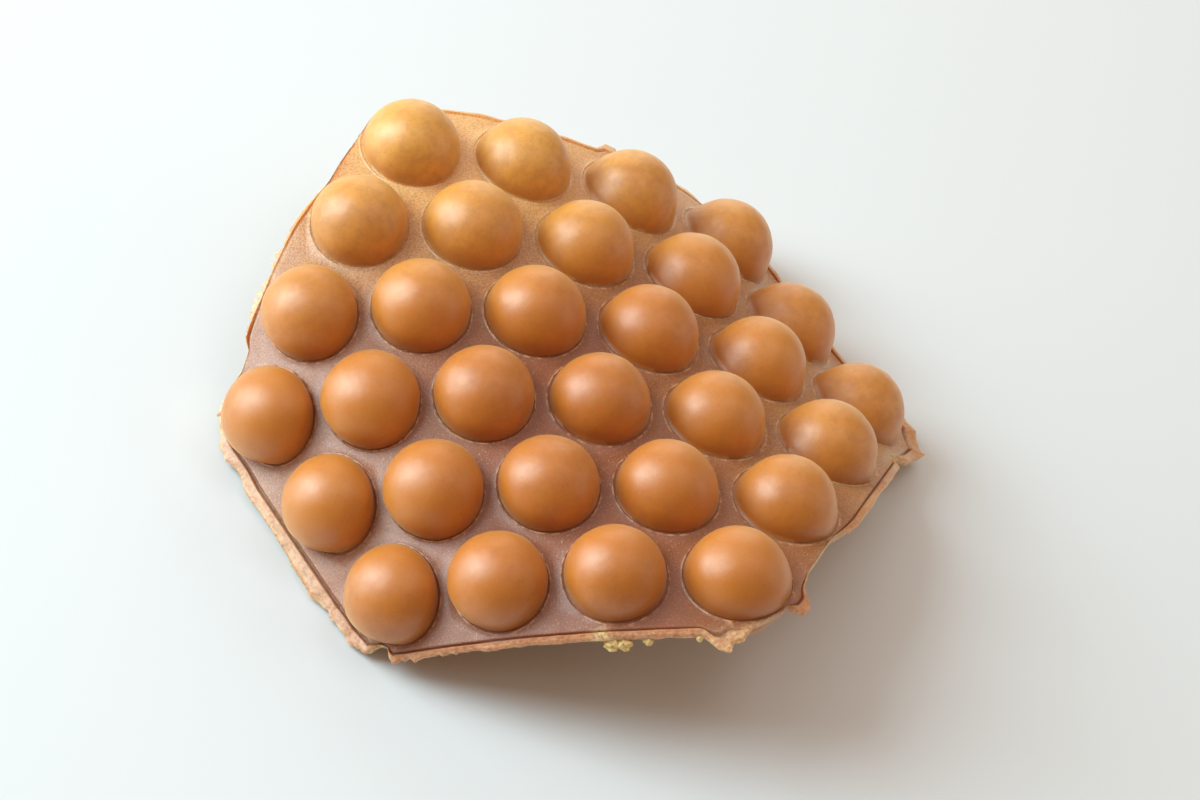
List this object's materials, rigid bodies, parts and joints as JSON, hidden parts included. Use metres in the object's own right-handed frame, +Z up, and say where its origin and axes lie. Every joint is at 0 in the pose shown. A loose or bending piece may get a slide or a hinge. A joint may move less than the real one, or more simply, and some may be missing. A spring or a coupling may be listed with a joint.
{
  "type": "bubble waffle",
  "caption": "Bubble waffle of golden balls of egg batter in a thin web, baked flat in a hexagonal outline and bent into a low arch that rests on its two sides.",
  "frame": {"origin": "centre of the base of the waffle's bounding box, on the surface it rests on", "axes": "+Z up, +Y along the straight lines of balls towards the back corner, +X across the lines, from the low left side to the right side; the arch bends about Y"},
  "size_m": [0.2058, 0.2048, 0.06],
  "materials": {
    "baked_batter": "satin golden brown crust with paler pinkish brown web"
  },
  "bodies": {
    "root": {"bubble_waffle": "baked_batter"}
  },
  "joints": []
}
